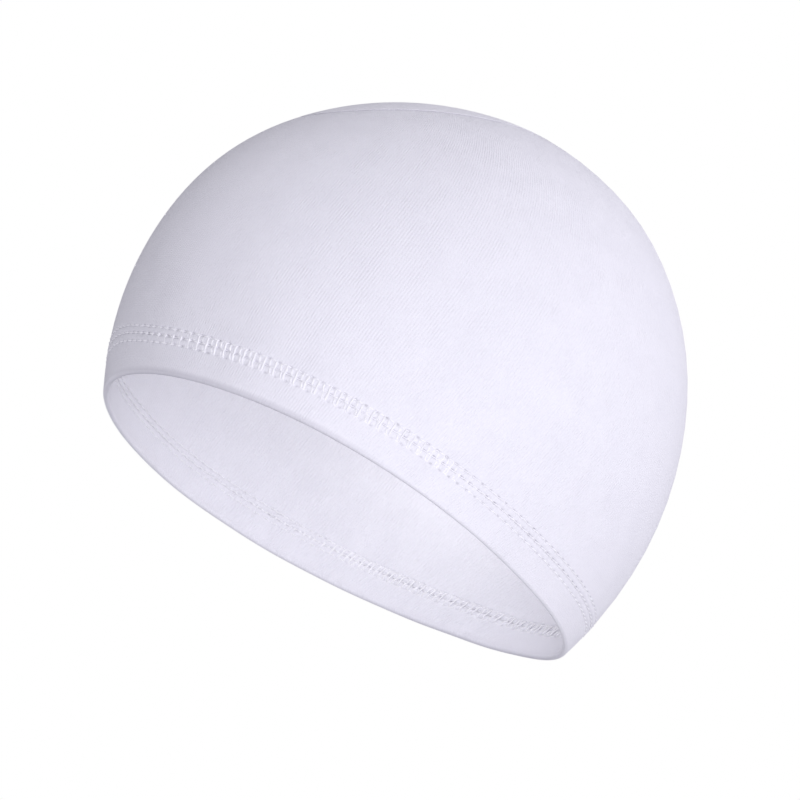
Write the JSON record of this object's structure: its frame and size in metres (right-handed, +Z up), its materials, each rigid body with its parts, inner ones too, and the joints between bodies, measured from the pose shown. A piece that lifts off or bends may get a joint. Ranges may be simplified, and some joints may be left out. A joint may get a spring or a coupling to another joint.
{
  "type": "fleece skull cap",
  "caption": "Thin stretch fleece skull cap in its worn form: a seamless side wrap, an oval crown panel and a turned-up, cover-stitched hem round the open rim.",
  "frame": {"origin": "centre of the rim opening, in the plane of the rim, where the head goes in", "axes": "+X to the forehead, +Y to the wearer's left, +Z up through the crown, square to the rim"},
  "size_m": [0.1967, 0.1634, 0.1498],
  "materials": {
    "fleece": "brushed, matte, white with a cool tint",
    "thread": "twisted polyester thread, slight lustre"
  },
  "bodies": {
    "root": {"hem_band": "fleece", "side_wrap": "fleece", "crown_panel": "fleece"}
  },
  "joints": []
}
